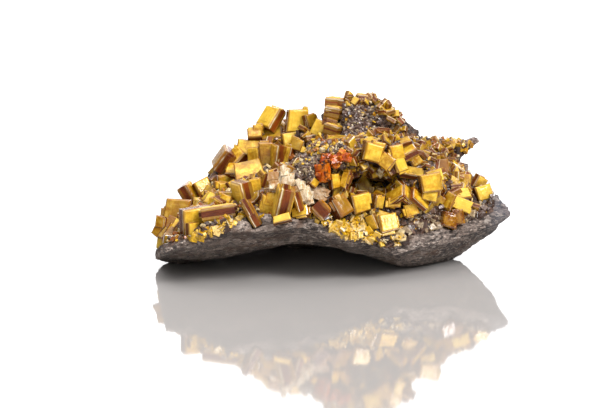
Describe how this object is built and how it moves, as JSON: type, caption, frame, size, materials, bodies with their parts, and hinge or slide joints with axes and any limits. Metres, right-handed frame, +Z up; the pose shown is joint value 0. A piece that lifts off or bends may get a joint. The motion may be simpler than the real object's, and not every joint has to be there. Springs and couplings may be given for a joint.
{
  "type": "wulfenite specimen",
  "caption": "Arched slab of dark grey rock covered with thick honey-yellow tabular crystals with brown cores, a crystal-lined hollow under its brow and a pointed right end.",
  "frame": {"origin": "on the floor, under the middle of the specimen's bounding box", "axes": "+X along the length towards the pointed end, +Y away from the showing side, +Z up"},
  "size_m": [0.0744, 0.0448, 0.0353],
  "materials": {
    "grey_rock": "rough, granular, with small bright grains",
    "honey_crystal": "satin to glossy, with a brown middle layer",
    "cream_calcite": "silky, finely ribbed",
    "orange_crystal": "glossy",
    "amber_crystal": "clear, deep brown, glossy"
  },
  "bodies": {
    "root": {"amber_crystals": "amber_crystal", "bright_slope_block": "honey_crystal", "brow_banded_tablets": "honey_crystal", "brow_block": "honey_crystal", "brow_low_plate": "honey_crystal", "brow_upright_blocks": "honey_crystal", "calcite_block": "cream_calcite", "calcite_patch": "cream_calcite", "five_sided_block": "honey_crystal", "hollow_crust": "honey_crystal", "hood_foot_block": "honey_crystal", "hood_tablets": "honey_crystal", "ledge_banded_block": "honey_crystal", "ledge_front_blocks": "honey_crystal", "ledge_middle_blocks": "honey_crystal", "left_corner_cluster": "honey_crystal", "left_front_plate": "honey_crystal", "left_ledge_tablet": "honey_crystal", "left_rear_blocks": "honey_crystal", "left_rear_stack": "honey_crystal", "left_rear_tablet": "honey_crystal", "left_tall_tablet": "honey_crystal", "lobe_dark_block": "honey_crystal", "lobe_edge_tablets": "honey_crystal", "lobe_right_blocks": "honey_crystal", "lobe_upper_blocks": "honey_crystal", "lobe_upright_tablets": "honey_crystal", "matrix": "grey_rock", "middle_slices": "honey_crystal", "middle_tall_tablet": "honey_crystal", "notch_tablet": "honey_crystal", "orange_crystals": "orange_crystal", "orange_tablet": "orange_crystal", "peak_stack": "honey_crystal", "right_end_blocks": "honey_crystal", "right_long_plate": "honey_crystal", "right_thin_plate": "honey_crystal", "shelf_foot_blocks": "honey_crystal", "shelf_plate": "honey_crystal", "summit_block": "honey_crystal", "summit_tablet": "honey_crystal", "turned_banded_tablet": "honey_crystal"}
  },
  "joints": []
}
